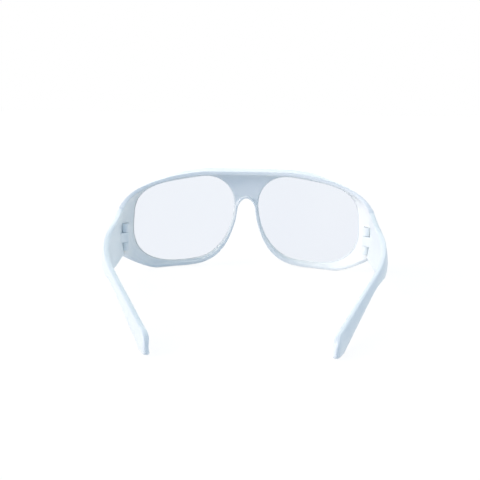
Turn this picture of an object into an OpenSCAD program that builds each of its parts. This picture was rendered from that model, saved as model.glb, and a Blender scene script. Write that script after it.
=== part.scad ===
// Laser safety glasses: a wrap-round moulded front with two clear filter lenses
// and two folding temples on screw hinges.
// X runs across the face, with the wearer's left at +X. The front looks along -Y,
// the temples run to +Y, and Z is up. All sizes are in millimetres.

/* [Overall] */
// Length from the front of the brow to the temple tips
overall_length = 158; // [150:1:170]
// Width of the front across its two joints, above and below their bulge
front_width = 147.4; // [144:0.2:151]
// Height of the front from the undersides of its rims to the top of the brow
front_height = 60.2; // [58.6:0.1:61.8]
// Radius of the front's wrap round the face
wrap_radius = 180; // [165:1:200]

/* [Lens opening] */
// Reach of the opening from its own centre towards the nose
opening_in = 21.7; // [20:0.1:23]
// Reach of the opening above its own centre
opening_up = 21.4; // [20:0.1:23]
// Inward lean of the opening for each millimetre of height
opening_lean = 0.067; // [0.04:0.001:0.09]
// Droop of the opening for each millimetre outwards
opening_droop = 0.142; // [0.12:0.001:0.16]
// Squareness of the opening's upper outer corner, where 2 is an ellipse
corner_top = 3.86; // [3:0.01:4.4]
// Squareness of the opening's lower outer corner
corner_low = 2.5; // [2.2:0.01:3]

/* [Rim] */
// Thickness of the rim that holds the lenses
rim_depth = 4.6; // [4.4:0.1:5]
// Width of the rim above a lens
rim_top = 4.4; // [3.8:0.1:5]
// Width of the rim where the brow starts to fall
rim_brow = 4.6; // [4:0.1:5.2]
// Width of the rim at the upper outer corner
rim_corner = 2.8; // [2.6:0.1:3.4]
// Width of the rim beside the temple
rim_side = 4.8; // [4.4:0.1:5.2]
// Width of the rim at the lower outer corner
rim_cheek = 5.6; // [5:0.1:6.2]
// Width of the rim below a lens
rim_low = 3.7; // [3.3:0.1:4.2]
// Width of the rim beside the nose
rim_nose = 2.2; // [2.1:0.1:2.6]
// Gap between the rims beside the nose
nose_gap = 10.6; // [9:0.1:13]
// Rise of the arch over the nose
arch_rise = 6; // [5:0.1:7]

/* [Walls behind the rim] */
// Depth of the brow wall, measured from the front of the rim
brow_depth = 9.5; // [7:0.1:11]
// Depth of the wall below a lens
low_depth = 6.4; // [5.8:0.1:8]
// Depth of the wall at the lower outer corner
cheek_depth = 8.4; // [7:0.1:9]
// Rise of the wall's sloping foot at the lower outer corner
foot_rise = 2.4; // [1:0.1:3]
// Depth of the wall beside the nose
nose_depth = 6; // [5.6:0.1:7]
// Thickness of the brow wall and the lower wall
wall = 2.2; // [1.8:0.1:2.6]
// Width of the ledge that a wall leaves on the back of the rim
ledge = 0.9; // [0.6:0.1:1.1]
// Fall of the brow from its front edge to its back edge
brow_fall = 1.2; // [0.8:0.1:1.6]
// Rise of the lower wall's back edge
low_rise = 0.6; // [0.3:0.1:1]

/* [Lenses] */
// Thickness of a lens
lens_thickness = 2.2; // [1.8:0.1:2.4]
// Depth of the lens seat in the rim, outwards from the opening
seat_depth = 1; // [0.8:0.05:1.2]
// Clearance round a lens in its seat
lens_clearance = 0.05; // [0.03:0.01:0.1]
// Set-back of the lens seat from the front of the rim
seat_setback = 1.2; // [1:0.1:1.4]

/* [Temple joint] */
// Distance from the front to the joint with the temples
joint_y = 30; // [28:0.5:33]
// Outward reach of the joint past the opening
joint_reach = 6; // [5.6:0.1:6.6]
// Height of the joint
joint_height = 27.5; // [26:0.1:28.5]
// Drop of the joint's middle below the opening's own centre
joint_drop = 8.9; // [8.3:0.1:9.5]
// Gap between the front and a temple
joint_gap = 0.3; // [0.2:0.05:0.4]
// Outward bulge of the joint at its middle
joint_bulge = 1.2; // [0.8:0.1:1.5]

/* [Temples] */
// Thickness of a temple at its joint
temple_thickness = 3.3; // [3:0.1:3.7]
// Thickness of a temple at its tip
tip_thickness = 3; // [2.6:0.1:3.2]
// Height of a temple at its tip
tip_height = 10.6; // [9.6:0.1:11.6]
// Length of the rounding at a temple's tip
tip_round = 9; // [6:0.5:11]
// Height of a temple's end above the ground
tip_end = 3.4; // [2.6:0.1:4.4]
// Distance from the joint to the lowest place behind it
level_length = 26; // [20:1:32]
// Drop of a temple's lower edge behind the joint
belly_drop = 1.2; // [0.4:0.1:1.6]
// Distance from the joint to a temple's waist
waist_length = 69; // [64:1:74]
// Height of the lower edge at a temple's waist
waist_bottom = 15.8; // [14.8:0.1:16.6]
// Inward heading of a temple behind its joint, in degrees
toe_in = 0.45; // [0.3:0.05:1]
// Length of the straight stretch behind the joint
straight_length = 29; // [25:1:33]
// Radius of the bend round the ear
bend_radius = 101; // [94:1:108]
// Inward bend of the tail, in degrees
bend_angle = 24.8; // [22.8:0.1:26.8]
// Radius of a temple's long edges
edge_radius = 1.1; // [0.9:0.05:1.15]

/* [Hinge] */
// Radius of the hinge barrel
barrel_radius = 2.1; // [2:0.05:2.3]
// Length of the hinge barrel
barrel_length = 16; // [15:0.5:18]
// Drop of the hinge's middle below the joint's middle
hinge_drop = 3; // [2:0.1:3.6]
// Length of the knuckle on the temple
temple_knuckle = 5.7; // [5.2:0.1:6]
// Clearance between knuckles, end to end
knuckle_gap = 0.15; // [0.1:0.05:0.25]
// Clearance round a knuckle in the other piece's notch
notch_clearance = 0.3; // [0.25:0.05:0.4]
// Set-back of the hinge axis from the joint's inner edge
axis_inset = 0.6; // [0.4:0.05:1]
// Length of the web that carries a knuckle
web_length = 8; // [6:0.5:9]
// Radius of the hinge screw's shank
screw_radius = 0.75; // [0.6:0.05:0.8]
// Radius of the hinge screw's head
screw_head_radius = 1.45; // [1.3:0.05:1.6]
// Height of the hinge screw's head
screw_head_height = 0.9; // [0.7:0.1:1.2]
// Clearance round the screw in the knuckles
screw_clearance = 0.05; // [0.03:0.01:0.08]
// Outer radius of the threaded insert
insert_radius = 1.4; // [1.25:0.05:1.5]

/* [Hidden] */
$fn = 96;

// The inner corners of the opening are nearly elliptical
corner_nose = 2;
corner_cheek = 2.1;
// The outline is sunk this much and cut flat, which leaves a land to stand on
land_sink = 0.3;
// The opening's own centre follows from the nose gap and the lower rim
opening_x = nose_gap/2 + rim_nose + opening_in;
// Reach of the opening towards the temple, as far as the front's width lets it
joint_half_width = front_width/2;
opening_out = joint_half_width - joint_reach - opening_x;
// Reach of the opening below its own centre, as far as the front's height lets it
low_power = corner_low/(corner_low - 1);
top_reach = norm([opening_up, opening_droop*opening_in]);
low_reach = front_height + land_sink - rim_low - rim_top - top_reach;
opening_down = pow(
    pow(low_reach, low_power) - pow(opening_droop*opening_out, low_power), 1/low_power);
opening_z = low_reach + rim_low - land_sink;
// Angles round the opening where the rim is highest and where it is nearest the nose
top_angle = atan2(opening_up*opening_up, -opening_droop*opening_in*opening_in);
nose_angle = atan2(opening_lean*opening_up*opening_up, -opening_in*opening_in) - 360;
// Angle at which the arch starts, a little below the place nearest the nose
arch_angle = nose_angle + 6;
// Spans of angle that the arch and the straight brow take on the opening's inner corner
arch_span = 20;
brow_span = 32;
// Power of the cosine in the arch's height, where 1 is an ellipse
arch_power = 1.5;
// Angles round the opening between which the rim's width, depth and edge change
nose_end = -150;
low_start = -105;
low_end = -80;
cheek_start = -40;
cheek_middle = -20;
side_middle = 8;
corner_middle = 36;
brow_start = 66;
// The side wall keeps to the outer half of the opening
side_end = 90;
// Heights of the joint
joint_z = opening_z - joint_drop;
joint_top = joint_z + joint_height/2;
joint_bottom = joint_z - joint_height/2;
// Heights over which the side wall runs forward to the brow and to the lower wall
shield_rise = 14;
shield_fall = 10;
// Roundings of the moulded edges
front_round = 0.7;
back_round = 0.55;
// Bevel on the back of the rim, round the opening
lip = 0.7;
// Share of a low wall's depth that its sloping foot may take
foot_share = 0.6;
// Depth of the flat land under the rim
land_depth = 3.2;

// Hinge axis, in the middle of the joint gap
axis_x = joint_half_width - temple_thickness - axis_inset;
axis_y = joint_y + joint_gap/2;
hinge_z = joint_z - hinge_drop;
knuckle_bottom = hinge_z - temple_knuckle/2;
knuckle_top = hinge_z + temple_knuckle/2;
barrel_bottom = hinge_z - barrel_length/2;
barrel_top = hinge_z + barrel_length/2;
// Far ends of the knuckles' webs, as [outwards, along] from the axis
front_foot = [axis_inset, -web_length];
temple_foot = [axis_inset + joint_bulge + temple_thickness/6, web_length];

// Plan of a temple: a straight stretch, a bend and a straight tail
temple_start = joint_y + joint_gap;
tail_angle = toe_in + bend_angle;
bend_length = bend_radius*bend_angle*PI/180;
bend_run = bend_radius*(sin(tail_angle) - sin(toe_in));
tip_offset = (tip_thickness + joint_bulge)*sin(tail_angle);
tail_length = (overall_length - temple_start - straight_length*cos(toe_in) - bend_run
    - tip_offset)/cos(tail_angle);
temple_length = straight_length + bend_length + tail_length;

temple_white = [0.90, 0.93, 0.95];
frame_white = [0.93, 0.95, 0.97];
lens_tint = [0.93, 0.94, 0.99, 0.45];
steel = [0.72, 0.74, 0.76];
brass = [0.80, 0.66, 0.36];

function mix(a, b, k) = a + (b - a)*k;
function ease(k) = let (c = min(1, max(0, k))) c*c*(3 - 2*c);
function unit(v) = v/norm(v);
function flatten(lists) = [for (list = lists) each list];
function wrap_y(x) = wrap_radius - sqrt(wrap_radius*wrap_radius - x*x);

// Eased value at angle t between the keys [angle, value], which rise in angle
function along(keys, t, i = 0) =
    t <= keys[i][0] ? keys[i][1]
    : i == len(keys) - 1 ? keys[i][1]
    : t > keys[i + 1][0] ? along(keys, t, i + 1)
    : mix(keys[i][1], keys[i + 1][1],
        ease((t - keys[i][0])/(keys[i + 1][0] - keys[i][0])));

// Point [x, z] on the lens opening at angle t, counted from the temple side upwards
function opening(t) =
    let (c = cos(t), s = sin(t),
        a = c >= 0 ? opening_out : opening_in,
        b = s >= 0 ? opening_up : opening_down,
        n = s >= 0 ? (c >= 0 ? corner_top : corner_nose) : (c >= 0 ? corner_low : corner_cheek),
        r = pow(pow(abs(c)/a, n) + pow(abs(s)/b, n), -1/n))
    [opening_x + r*c - opening_lean*r*s, opening_z + r*s - opening_droop*r*c];

// Outward direction of the opening at angle t
function opening_normal(t) =
    let (d = opening(t + 0.5) - opening(t - 0.5)) unit([d[1], -d[0]]);

function rim_width(t) = along([
    [nose_end, rim_nose], [low_start, rim_low], [low_end, rim_low], [cheek_middle, rim_cheek],
    [side_middle, rim_side], [corner_middle, rim_corner], [brow_start, rim_brow],
    [top_angle, rim_top]
], t);
function wall_depth(t) = along([
    [nose_end, nose_depth], [low_start, low_depth], [low_end, low_depth],
    [cheek_start, cheek_depth], [corner_middle, brow_depth]
], t);
function foot_slope(t) = along([
    [low_start, 0], [cheek_start, 1], [side_middle, 1], [corner_middle, 0]
], t);
function edge_rise(t) = along([
    [nose_end, 0], [low_start, low_rise], [low_end, low_rise], [cheek_middle, 0],
    [corner_middle, 0], [brow_start, -brow_fall]
], t);

brow_z = opening(top_angle)[1] + rim_top;
brow_x = opening(top_angle)[0];
arch_start = opening(arch_angle) + rim_width(arch_angle)*opening_normal(arch_angle);
arch_x = arch_start[0];

// Point and outward direction on the front's outline, where a runs on from the
// arch, round the rim and back along the brow
function outline(t) =
    t < arch_angle ? let (q = 90*(t - arch_angle + arch_span)/arch_span)
        [[arch_x*sin(q), arch_start[1] + arch_rise*pow(cos(q), arch_power)],
            -unit([arch_power*arch_rise*sin(q), arch_x*pow(cos(q), 2 - arch_power)])]
    : t > top_angle ? [[brow_x*(1 - (t - top_angle)/brow_span), brow_z], [0, 1]]
    : let (n = opening_normal(t), p = opening(t) + rim_width(t)*n) [p, n];

// How far a section belongs to the temple joint: 1 at the joint, 0 away from it
function joint_share(t, z) =
    let (k = min(1 + (joint_top - z)/shield_rise, 1 + (z - joint_bottom)/shield_fall))
    abs(t) > side_end || k < 0 ? 0 : pow(min(1, k), 2);

// Outer face of the joint at height z, the same on the front and on a temple
function joint_face(z) =
    let (k = (z - joint_z)/(joint_height/2)) joint_half_width + joint_bulge*(1 - k*k);

function spot(p, depth) = [p[0], wrap_y(p[0]) + depth, p[1]];
function level(p, y) = [p[0], y, p[1]];

// One section of the front, from the opening out to the outline and back again
function frame_section(t) =
    let (a = opening(t), na = opening_normal(t),
        o = outline(t), p = [o[0][0], max(0, o[0][1])], no = o[1],
        k = joint_share(t, p[1]),
        web = min(wall, rim_width(t) - ledge),
        thick = mix(web, temple_thickness, k),
        back_y = mix(wrap_y(p[0]) + wall_depth(t), joint_y, k),
        away = unit(mix(no, [1, 0], k)),
        side = [mix(p[0], joint_face(p[1]), k), p[1] + edge_rise(t)],
        inner = side - thick*away,
        foot_deep = back_y - back_round - wrap_y(p[0]) - rim_depth,
        foot_depth = rim_depth + foot_slope(t)*min(foot_rise, foot_share*foot_deep),
        seat_back = seat_setback + lens_thickness + 2*lens_clearance)
    [
        spot(a, front_round),
        spot(a + front_round*na, 0),
        spot(p - 1.6*front_round*no, 0),
        spot(p - 0.5*front_round*no, 0.5*front_round),
        spot(p, 1.6*front_round),
        spot(p, land_depth),
        level(side, back_y - back_round),
        level(side - back_round*away, back_y),
        level(inner + back_round*away, back_y),
        level(inner, back_y - back_round),
        spot(p - mix(web, rim_side - ledge, k)*no, foot_depth),
        spot(a + lip*na, rim_depth),
        spot(a, rim_depth - lip),
        spot(a, seat_back),
        spot(a + seat_depth*na, seat_back),
        spot(a + seat_depth*na, seat_setback),
        spot(a, seat_setback)
    ];

// Angles of the sections: round the outline, and across the bridge between the lenses
first_angle = arch_angle - arch_span;
last_angle = top_angle + brow_span;
arch_steps = 9;
rim_steps = 70;
brow_steps = 8;
bridge_steps = 8;
wall_angles = [
    for (i = [0:arch_steps - 1]) first_angle + arch_span*i/arch_steps,
    for (i = [0:rim_steps - 1]) mix(arch_angle, top_angle, i/rim_steps),
    for (i = [0:brow_steps]) top_angle + brow_span*i/brow_steps
];
wall_sections = [for (t = wall_angles) frame_section(t)];
bridge_start = wall_sections[len(wall_sections) - 1];
bridge_end = wall_sections[0];

// A section across the bridge keeps the lens seat, and ends on the centre plane between
// these points on the front and on the back
front_point = 2;
back_point = 10;
bridge_sections = [for (i = [0:bridge_steps])
    let (q = i/bridge_steps, own = frame_section(mix(last_angle, first_angle + 360, q)))
    [for (j = [0:len(own) - 1])
        j >= front_point && j <= back_point ? mix(bridge_start[j], bridge_end[j], q) : own[j]]
];

// Triangles that join section i to the next one, along the section's edge j
function strip(i, j, count) =
    let (a = i*count + j, b = i*count + (j + 1)%count)
    [[a, a + count, b], [b, a + count, b + count]];

module frame_shell() {
    count = len(bridge_start);
    walls = len(wall_sections);
    bridges = len(bridge_sections);
    half = [each flatten(wall_sections), each flatten(bridge_sections)];
    half_faces = flatten([
        for (i = [0:walls - 2], j = [0:count - 1]) strip(i, j, count),
        for (i = [walls:walls + bridges - 2], j = [0:count - 1])
            if (j < front_point || j >= back_point) strip(i, j, count)
    ]);
    other_half = [for (p = half) [-p[0], p[1], p[2]]];
    other_faces = [for (f = half_faces) [f[0], f[2], f[1]] + len(half)*[1, 1, 1]];
    polyhedron(points = [each half, each other_half], faces = [each half_faces, each other_faces]);
}

module at_front() {
    translate([0, -overall_length/2, 0]) children();
}

// One copy on the wearer's left for 1, or on the wearer's right for -1
module on_side(side) {
    mirror([side < 0 ? 1 : 0, 0, 0]) children();
}

module barrel(radius, bottom, top) {
    translate([axis_x, axis_y, bottom]) cylinder(r = radius, h = top - bottom);
}

// A knuckle with the web that carries it, whose far end lies at the place
// [outwards, along] from the axis
module knuckle(bottom, top, foot) {
    barrel(barrel_radius, bottom, top);
    translate([axis_x, axis_y, bottom]) linear_extrude(top - bottom)
        polygon([
            [-barrel_radius, 0], [axis_inset + temple_thickness/2, 0],
            foot + [temple_thickness/4, 0], foot
        ]);
}

module front_frame() {
    color(frame_white) at_front() difference() {
        union() {
            frame_shell();
            for (side = [-1, 1]) on_side(side) {
                knuckle(barrel_bottom, knuckle_bottom - knuckle_gap, front_foot);
                knuckle(knuckle_top + knuckle_gap, barrel_top, front_foot);
            }
        }
        for (side = [-1, 1]) on_side(side) {
            barrel(barrel_radius + notch_clearance,
                knuckle_bottom - knuckle_gap, knuckle_top + knuckle_gap);
            barrel(screw_radius + screw_clearance, knuckle_top, barrel_top + 1);
            barrel(screw_head_radius + screw_clearance, barrel_top - screw_head_height, barrel_top + 1);
            barrel(insert_radius, barrel_bottom - 1, knuckle_bottom);
        }
    }
}

// Heading of a temple at the distance s along it, in degrees
function heading(s) =
    s <= 0 ? 0 : toe_in + bend_angle*min(1, max(0, (s - straight_length)/bend_length));

// Plan of the temple's inner upper edge at the distance s along it
function temple_path(s) =
    let (a = min(s, straight_length), b = heading(max(s, straight_length)),
        tail = max(0, s - straight_length - bend_length))
    [joint_half_width - temple_thickness - a*sin(toe_in)
        - bend_radius*(cos(toe_in) - cos(b)) - tail*sin(tail_angle),
        temple_start + a*cos(toe_in) + bend_radius*(sin(b) - sin(toe_in)) + tail*cos(tail_angle)];

// Outline of a temple across its length, as [outwards, up], centred on its height
function bar_section(half_height, radius, thickness) =
    let (e = thickness/2, r = min(radius, half_height*0.9),
        corners = [[1, 1], [-1, 1], [-1, -1], [1, -1]])
    flatten([for (i = [0:3])
        let (m = corners[i], middle = [m[0]*(e - r), m[1]*(half_height - r)])
        [
            for (a = [0, 30, 60, 90]) middle + r*[cos(a + 90*i), sin(a + 90*i)],
            if (i % 2 == 1) each [for (k = [0.5, 0, -0.5]) [m[0]*e, k*m[1]*(half_height - r)]],
        ]
    ]);

// Heights of a temple's top and lower edges at the distance s, before its round end
tip_start = temple_length - tip_round;
tip_top = tip_height - land_sink;
fall_start = 0.3;
function bar_top(s) =
    let (q = min(1, s/tip_start)) mix(joint_top, tip_top, q);
function bar_bottom(s) =
    let (q = min(1, max(0, (s - waist_length)/(tip_start - waist_length))),
        fall = q < fall_start ? q*q/fall_start/2 : q - fall_start/2)
    s < waist_length
        ? mix(joint_bottom - belly_drop*ease(s/level_length), waist_bottom,
            ease((s - level_length)/(waist_length - level_length)))
        : mix(waist_bottom, -land_sink, fall/(1 - fall_start/2));

// One section of a temple at the distance s, with the given part of its full height
function temple_section(s, part) =
    let (q = min(1, s/tip_start), h = (bar_top(s) - bar_bottom(s))/2,
        middle = mix(tip_end, (bar_top(s) + bar_bottom(s))/2, part), a = heading(s),
        p = temple_path(s),
        thickness = mix(temple_thickness, tip_thickness, q))
    [for (v = bar_section(part*h, edge_radius, thickness))
        let (k = v[1]/h, out = thickness/2 + v[0] + joint_bulge*(1 - k*k))
        [p[0] + out*cos(a), p[1] + out*sin(a), max(0, middle + v[1])]];

straight_steps = 7;
bend_steps = 9;
tail_steps = 5;
temple_stations = [
    for (i = [0:straight_steps - 1]) straight_length*i/straight_steps,
    for (i = [0:bend_steps - 1]) straight_length + bend_length*i/bend_steps,
    for (i = [0:tail_steps - 1])
        straight_length + bend_length + (tail_length - tip_round)*i/tail_steps
];
tip_turns = [0, 18, 36, 52, 66, 78, 86];

// Four-sided face number j on a temple's end, which joins its outer and inner sides
function bar_end(j, count) =
    [(3 - j + count) % count, (2 - j + count) % count, 5 + j, 4 + j];

module temple_bar() {
    sections = [
        for (s = temple_stations) temple_section(s, 1),
        for (a = tip_turns)
            temple_section(temple_length - tip_round*(1 - sin(a)), cos(a))
    ];
    count = len(sections[0]);
    last = len(sections) - 1;
    polyhedron(points = flatten(sections), faces = [
        for (j = [0:count/2 - 2]) bar_end(j, count),
        for (f = flatten([for (i = [0:last - 1], j = [0:count - 1]) strip(i, j, count)]))
            [f[0], f[2], f[1]],
        for (j = [0:count/2 - 2]) [for (k = [3:-1:0]) last*count + bar_end(j, count)[k]]
    ]);
}

module temple() {
    difference() {
        union() {
            temple_bar();
            knuckle(knuckle_bottom, knuckle_top, temple_foot);
        }
        barrel(barrel_radius + notch_clearance, barrel_bottom - knuckle_gap, knuckle_bottom);
        barrel(barrel_radius + notch_clearance, knuckle_top, barrel_top + knuckle_gap);
        barrel(screw_radius + screw_clearance, knuckle_bottom - 1, knuckle_top + 1);
    }
}

module temple_left() {
    color(temple_white) at_front() temple();
}

module temple_right() {
    color(temple_white) at_front() on_side(-1) temple();
}

// Upright cylinder whose front lies at the given depth behind the front of the rim
module wrap_cylinder(depth) {
    translate([0, wrap_radius + depth, 0]) cylinder(r = wrap_radius, h = brow_z);
}

module lens() {
    edge = [for (t = [0:4:356]) opening(t) + (seat_depth - lens_clearance)*opening_normal(t)];
    front = seat_setback + lens_clearance;
    intersection() {
        difference() {
            wrap_cylinder(front);
            wrap_cylinder(front + lens_thickness);
        }
        translate([0, joint_y, 0]) rotate([90, 0, 0]) linear_extrude(joint_y) polygon(edge);
    }
}

module lens_left() {
    color(lens_tint) at_front() lens();
}

module lens_right() {
    color(lens_tint) at_front() on_side(-1) lens();
}

module hinge_screw() {
    slot = screw_head_height/2;
    difference() {
        union() {
            barrel(screw_radius, barrel_bottom, barrel_top - screw_head_height);
            barrel(screw_head_radius, barrel_top - screw_head_height, barrel_top);
        }
        translate([axis_x, axis_y, barrel_top]) cube([4*screw_head_radius, slot, 2*slot], center = true);
    }
}

module hinge_screw_left() {
    color(steel) at_front() hinge_screw();
}

module hinge_screw_right() {
    color(steel) at_front() on_side(-1) hinge_screw();
}

module hinge_insert() {
    difference() {
        barrel(insert_radius, barrel_bottom, knuckle_bottom - knuckle_gap);
        barrel(screw_radius, barrel_bottom - 1, knuckle_bottom);
    }
}

module hinge_insert_left() {
    color(brass) at_front() hinge_insert();
}

module hinge_insert_right() {
    color(brass) at_front() on_side(-1) hinge_insert();
}

front_frame();
lens_left();
lens_right();
temple_left();
temple_right();
hinge_screw_left();
hinge_screw_right();
hinge_insert_left();
hinge_insert_right();
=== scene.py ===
import math

import bmesh
import bpy
import numpy as np
from mathutils import Matrix, Vector


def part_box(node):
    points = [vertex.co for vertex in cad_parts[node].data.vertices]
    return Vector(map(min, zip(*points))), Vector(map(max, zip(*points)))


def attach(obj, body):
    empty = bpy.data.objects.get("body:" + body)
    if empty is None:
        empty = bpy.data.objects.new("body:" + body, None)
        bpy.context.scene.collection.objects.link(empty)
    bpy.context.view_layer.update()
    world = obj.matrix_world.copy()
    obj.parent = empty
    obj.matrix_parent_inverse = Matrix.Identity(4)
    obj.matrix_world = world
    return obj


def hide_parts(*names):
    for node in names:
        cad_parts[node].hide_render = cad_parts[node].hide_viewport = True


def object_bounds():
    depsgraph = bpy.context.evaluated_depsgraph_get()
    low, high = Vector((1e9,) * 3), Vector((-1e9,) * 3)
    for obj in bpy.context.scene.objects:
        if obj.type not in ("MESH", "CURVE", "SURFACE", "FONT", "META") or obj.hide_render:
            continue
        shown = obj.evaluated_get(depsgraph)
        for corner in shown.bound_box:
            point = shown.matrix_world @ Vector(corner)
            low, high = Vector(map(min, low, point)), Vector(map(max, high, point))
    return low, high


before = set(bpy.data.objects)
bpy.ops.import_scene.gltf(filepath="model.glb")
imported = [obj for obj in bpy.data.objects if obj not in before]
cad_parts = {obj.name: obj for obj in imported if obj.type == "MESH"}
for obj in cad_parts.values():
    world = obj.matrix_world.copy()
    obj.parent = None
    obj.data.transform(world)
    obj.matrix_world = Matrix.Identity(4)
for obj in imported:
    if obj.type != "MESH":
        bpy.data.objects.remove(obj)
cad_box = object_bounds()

# Laser safety glasses. +X is the wearer's left, +Y runs back along the temples and +Z is up.
# Lengths are in millimetres unless a name ends in _M, and angles in degrees. As in the part's
# source, y starts at the front's foremost point, and placed() moves points to the frame.
MM = 0.001


def in_mm(length_m):
    """A length that the frame gives in metres, to the nearest micrometre."""
    return round(length_m / MM, 3)


# Sizes that the frame gives
front_low, front_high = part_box("front_frame")
FRONT_Y, FRONT_HEIGHT = in_mm(front_low.y), in_mm(front_high.z)
OVERALL_LENGTH, OVERALL_HALF_WIDTH = -2 * FRONT_Y, in_mm(cad_box[1].x)

# Wrap of the front round the face
WRAP_RADIUS = 180.0
# The lens opening: its reach towards the nose and up, its lean and droop, and how square its
# corners are, where 2 is an ellipse
OPENING_IN, OPENING_UP = 21.7, 21.4
OPENING_LEAN, OPENING_DROOP = 0.067, 0.142
CORNER_TOP, CORNER_LOW = 3.86, 2.5
CORNER_NOSE, CORNER_CHEEK = 2.0, 2.1
# The rim's thickness, its widths round the opening, and the arch over the nose
RIM_DEPTH = 4.6
RIM_TOP, RIM_BROW, RIM_CORNER, RIM_SIDE = 4.4, 4.6, 2.8, 4.8
RIM_CHEEK, RIM_LOW, RIM_NOSE = 5.6, 3.7, 2.2
NOSE_GAP, ARCH_RISE, ARCH_POWER = 10.6, 6.0, 1.5
# The wall behind the rim: depths, thickness, the ledge inside it and its back edge's rise
BROW_DEPTH, LOW_DEPTH, CHEEK_DEPTH, NOSE_DEPTH = 9.5, 6.4, 8.4, 6.0
WALL, LEDGE = 2.2, 0.9
BROW_FALL, LOW_RISE = 1.2, 0.6
# The sloping foot of the wall, and the rounding of the low wall's back, as a share of it
FOOT_RISE, FOOT_SHARE = 2.4, 0.6
ROLL_LIMIT = 0.7
# Roundings and bevels of the front
FRONT_ROUND, BACK_ROUND, FOOT_ROUND = 0.7, 0.55, 0.4
FRONT_CURVE = 1.6 * FRONT_ROUND
LIP, BACK_LIP = 0.7, 0.2
# The flat that the glasses rest on
LAND_SINK, LAND_DEPTH = 0.3, 3.2
# The lens and its seat
LENS_THICKNESS, LENS_CLEARANCE, LENS_EDGE = 2.2, 0.05, 0.25
SEAT_DEPTH, SEAT_SETBACK = 1.0, 1.2
# The joint between the front and a temple, and the walls that rise and fall to it
JOINT_Y, JOINT_REACH, JOINT_HEIGHT = 30.0, 6.0, 27.5
JOINT_DROP, JOINT_GAP, JOINT_BULGE = 8.9, 0.3, 1.2
SHIELD_RISE, SHIELD_FALL = 14.0, 10.0
# The temple: its thickness, its edges' heights, its tip and its course
TEMPLE_THICKNESS, TIP_THICKNESS, TIP_HEIGHT = 3.3, 3.0, 10.6
TIP_ROUND, TIP_END, BELLY_DROP = 9.0, 3.4, 1.2
TIP_FULLNESS, TIP_SQUARENESS, TIP_THINNEST = 0.6, 10, 0.02
LEVEL_LENGTH, WAIST_LENGTH, WAIST_BOTTOM = 26.0, 69.0, 15.8
FALL_START = 0.3
TOE_IN, STRAIGHT_LENGTH = 0.45, 29.0
BEND_RADIUS, BEND_ANGLE = 101.0, 24.8
# Rounding of the temple's edges, and the roll of its top outwards and then inwards
EDGE_RADIUS, CRISP_EDGE = 1.15, 0.4
THIN_SHARE, TALL_SHARE, ROLL_SHARE = 0.48, 0.9, 0.9
ROLL_DROP, ROLL_FALL = 2.0, 1.5
ROLL_START, ROLL_LENGTH = 10.0, 32.0
# Distance along the temple and bevel of the first sections
END_SECTIONS = ((0.0, 0.22), (0.07, 0.07), (0.22, 0.0))
BAR_START = 1.2
# The hinge
BARREL_RADIUS, BARREL_LENGTH, BARREL_BEVEL = 2.1, 16.0, 0.3
HINGE_DROP, AXIS_INSET = 3.0, 0.6
TEMPLE_KNUCKLE, KNUCKLE_GAP, NOTCH_CLEARANCE = 5.7, 0.08, 0.12
WEB_LENGTH, WEB_INSET = 8.0, 0.12
SCREW_RADIUS, SCREW_CLEARANCE, SCREW_POINT = 0.75, 0.05, 0.2
SCREW_HEAD_RADIUS, SCREW_HEAD_HEIGHT, HEAD_BEVEL, HEAD_DOME = 1.45, 0.9, 0.15, 0.18
THREAD_PITCH, THREAD_DEPTH = 0.35, 0.12
INSERT_RADIUS, BORE_BEVEL, INSERT_BEVEL = 1.4, 0.15, 0.1
# How far a cut runs past what it cuts
OVERCUT = 1.0
# Angles between faces up to which they are shaded as one, for large and for small pieces
SMOOTH_ANGLE, SMALL_SMOOTH_ANGLE = 32, 35

# Angles round the opening, from outwards towards up, between which the rim's width, depth
# and edge change
NOSE_END, LOW_START, LOW_END, CHEEK_START = -150, -105, -80, -40
CHEEK_MIDDLE, SIDE_MIDDLE, CORNER_MIDDLE, BROW_START = -20, 8, 36, 66
# Angles that the arch and the brow take up, and how far past the nose the arch ends
ARCH_SPAN, BROW_SPAN, ARCH_PAST_NOSE = 20.0, 32.0, 6.0
# Angle to each side between which a slope is measured, and lengths that count as nothing
SLOPE_STEP = 0.5
TINY = 1e-6
MERGE_M = 1e-7

# Places that follow from these sizes
OPENING_X = NOSE_GAP / 2 + RIM_NOSE + OPENING_IN
JOINT_HALF_WIDTH = OVERALL_HALF_WIDTH - JOINT_BULGE
OPENING_OUT = JOINT_HALF_WIDTH - JOINT_REACH - OPENING_X
LOW_POWER = CORNER_LOW / (CORNER_LOW - 1)
LOW_REACH = (FRONT_HEIGHT + LAND_SINK - RIM_LOW - RIM_TOP
             - math.hypot(OPENING_UP, OPENING_DROOP * OPENING_IN))
OPENING_DOWN = (LOW_REACH ** LOW_POWER - (OPENING_DROOP * OPENING_OUT) ** LOW_POWER) ** (1 / LOW_POWER)
OPENING_Z = LOW_REACH + RIM_LOW - LAND_SINK
TOP_ANGLE = math.degrees(math.atan2(OPENING_UP ** 2, -OPENING_DROOP * OPENING_IN ** 2))
NOSE_ANGLE = math.degrees(math.atan2(OPENING_LEAN * OPENING_UP ** 2, -OPENING_IN ** 2)) - 360
ARCH_ANGLE = NOSE_ANGLE + ARCH_PAST_NOSE
JOINT_Z = OPENING_Z - JOINT_DROP
JOINT_TOP, JOINT_BOTTOM = JOINT_Z + JOINT_HEIGHT / 2, JOINT_Z - JOINT_HEIGHT / 2
AXIS_X = JOINT_HALF_WIDTH - TEMPLE_THICKNESS - AXIS_INSET
AXIS_Y = JOINT_Y + JOINT_GAP / 2
HINGE_Z = JOINT_Z - HINGE_DROP
KNUCKLE_BOTTOM, KNUCKLE_TOP = HINGE_Z - TEMPLE_KNUCKLE / 2, HINGE_Z + TEMPLE_KNUCKLE / 2
BARREL_BOTTOM, BARREL_TOP = HINGE_Z - BARREL_LENGTH / 2, HINGE_Z + BARREL_LENGTH / 2

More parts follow.
